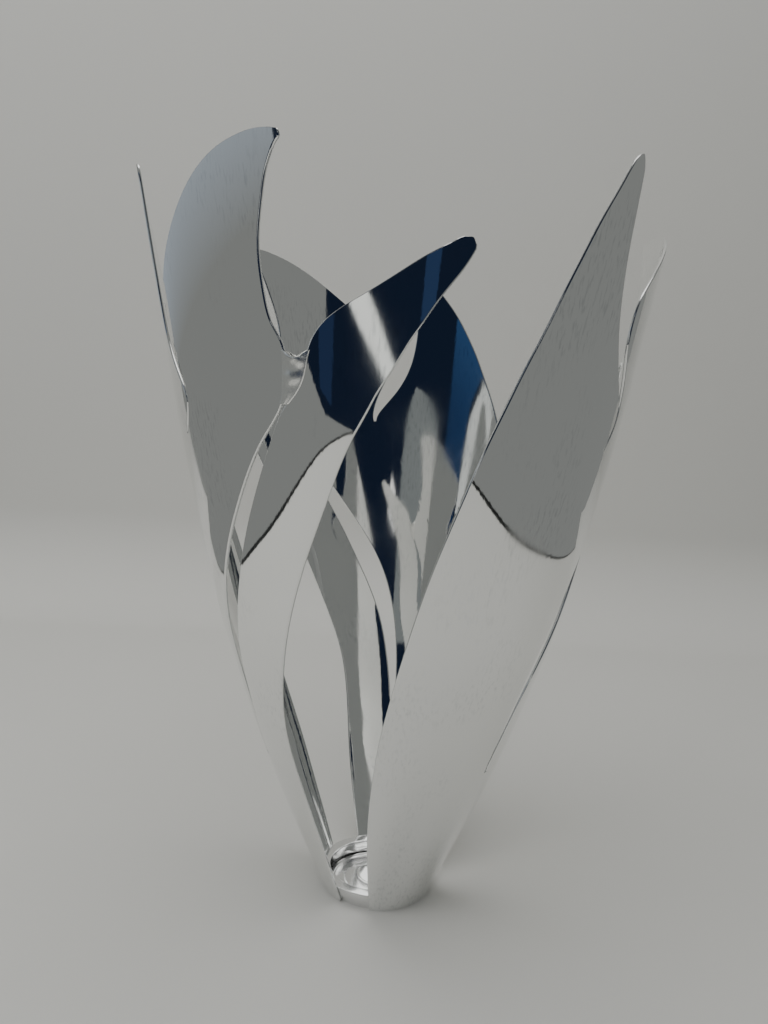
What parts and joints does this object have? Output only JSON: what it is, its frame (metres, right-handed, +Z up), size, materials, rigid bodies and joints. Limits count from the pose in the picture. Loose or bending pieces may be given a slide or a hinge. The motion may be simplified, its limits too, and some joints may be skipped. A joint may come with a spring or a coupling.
{
  "type": "sculptural sheet-metal vessel",
  "caption": "Free-standing tulip-shaped vessel of twisted, pointed mirror-polished sheet blades welded side by side on a shallow round cup",
  "frame": {"origin": "centre of the round foot on the surface it stands on, which is the rest_face mount", "axes": "+Z up along the vessel's axis, -Y towards the side with the open gap between a short and a wide blade"},
  "size_m": [0.1948, 0.1898, 0.2746],
  "materials": {
    "polished_sheet": "mirror polished with faint polishing marks",
    "weld_metal": "ground and polished, slightly lumpy",
    "cup_metal": "polished turned metal"
  },
  "bodies": {
    "root": {"wide_blade_a": "polished_sheet", "wide_blade_b": "polished_sheet", "wide_blade_c": "polished_sheet", "tall_blade_a": "polished_sheet", "tall_blade_b": "polished_sheet", "tall_blade_c": "polished_sheet", "short_blade_a": "polished_sheet", "short_blade_b": "polished_sheet", "short_blade_c": "polished_sheet", "seam_weld_a": "weld_metal", "seam_weld_b": "weld_metal", "seam_weld_c": "weld_metal", "root_weld_a": "weld_metal", "root_weld_b": "weld_metal", "root_weld_c": "weld_metal", "bridge_weld_a": "weld_metal", "bridge_weld_b": "weld_metal", "bridge_weld_c": "weld_metal", "cup_wall": "cup_metal", "cup_floor": "cup_metal", "cup_boss": "cup_metal"}
  },
  "joints": []
}
